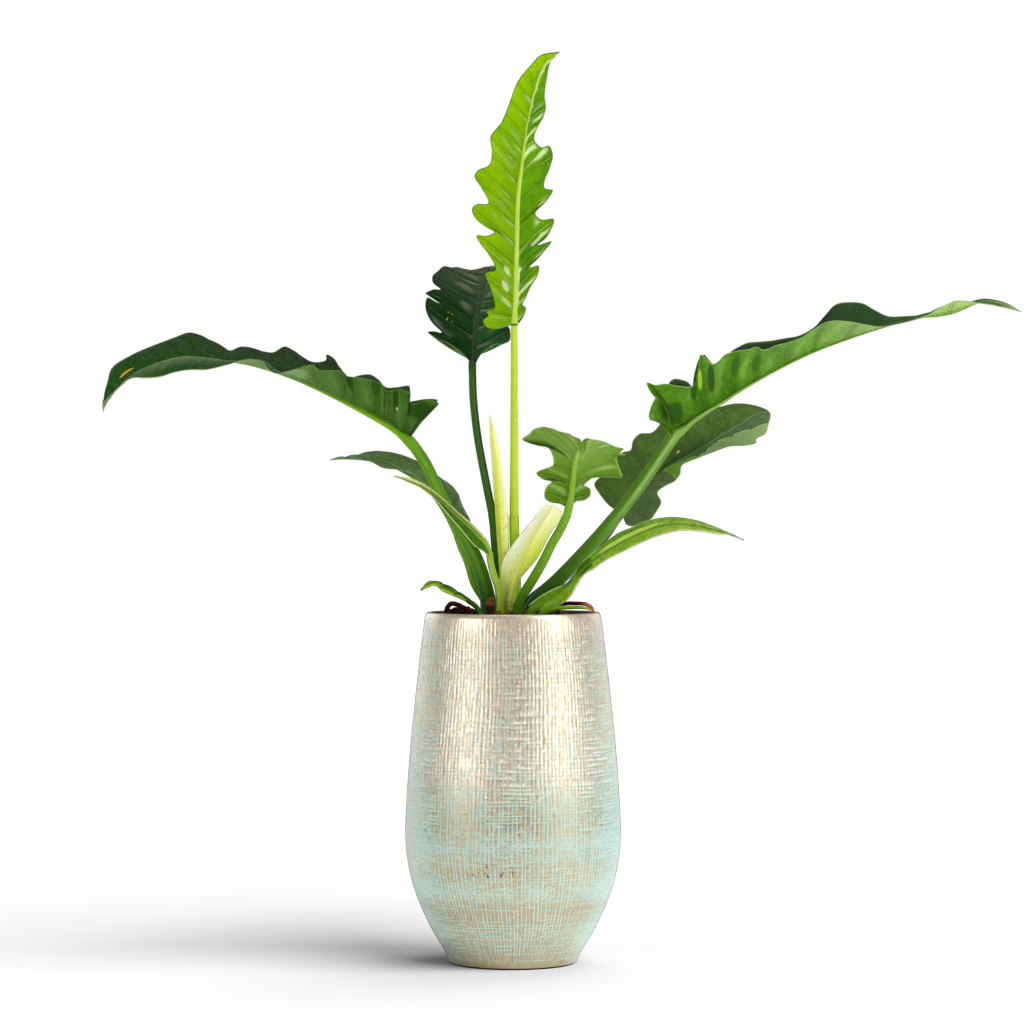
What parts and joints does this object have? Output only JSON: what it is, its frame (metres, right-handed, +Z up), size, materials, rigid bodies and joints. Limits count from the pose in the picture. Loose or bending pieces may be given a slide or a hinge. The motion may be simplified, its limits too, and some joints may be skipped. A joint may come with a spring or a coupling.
{
  "type": "potted narrow tiger tooth philodendron",
  "caption": "Potted aroid with long narrow toothed leaves on round stalks, rising from a tall tapered ceramic pot with a carved crosshatched surface.",
  "frame": {"origin": "middle of the pot's flat base, on the surface it stands on", "axes": "+Z up along the pot's axis; -Y is the front, the side the picture shows; +X is to the right seen from the front"},
  "size_m": [0.7825, 0.3982, 0.7824],
  "materials": {
    "pot": "satin",
    "soil": "matte",
    "dry_bark": "matte",
    "lime_leaf": "satin",
    "dark_leaf": "satin",
    "green_leaf": "satin",
    "cream_edged_leaf": "satin",
    "pale_sheath": "satin",
    "crown": "matte"
  },
  "bodies": {
    "root": {"pot": "pot", "soil": "soil", "crown": "crown", "upright_lime_leaf": "lime_leaf", "back_dark_leaf": "dark_leaf", "long_left_leaf": "green_leaf", "back_left_leaf": "dark_leaf", "front_left_strap_leaf": "cream_edged_leaf", "small_left_leaf": "green_leaf", "central_sheath": "pale_sheath", "cream_sheath": "pale_sheath", "front_small_leaf": "green_leaf", "back_right_leaf": "dark_leaf", "long_right_leaf": "green_leaf", "front_right_strap_leaf": "cream_edged_leaf", "thin_right_shoot": "green_leaf", "curled_bark": "dry_bark", "dry_strip": "dry_bark", "dry_scale": "dry_bark"}
  },
  "joints": []
}
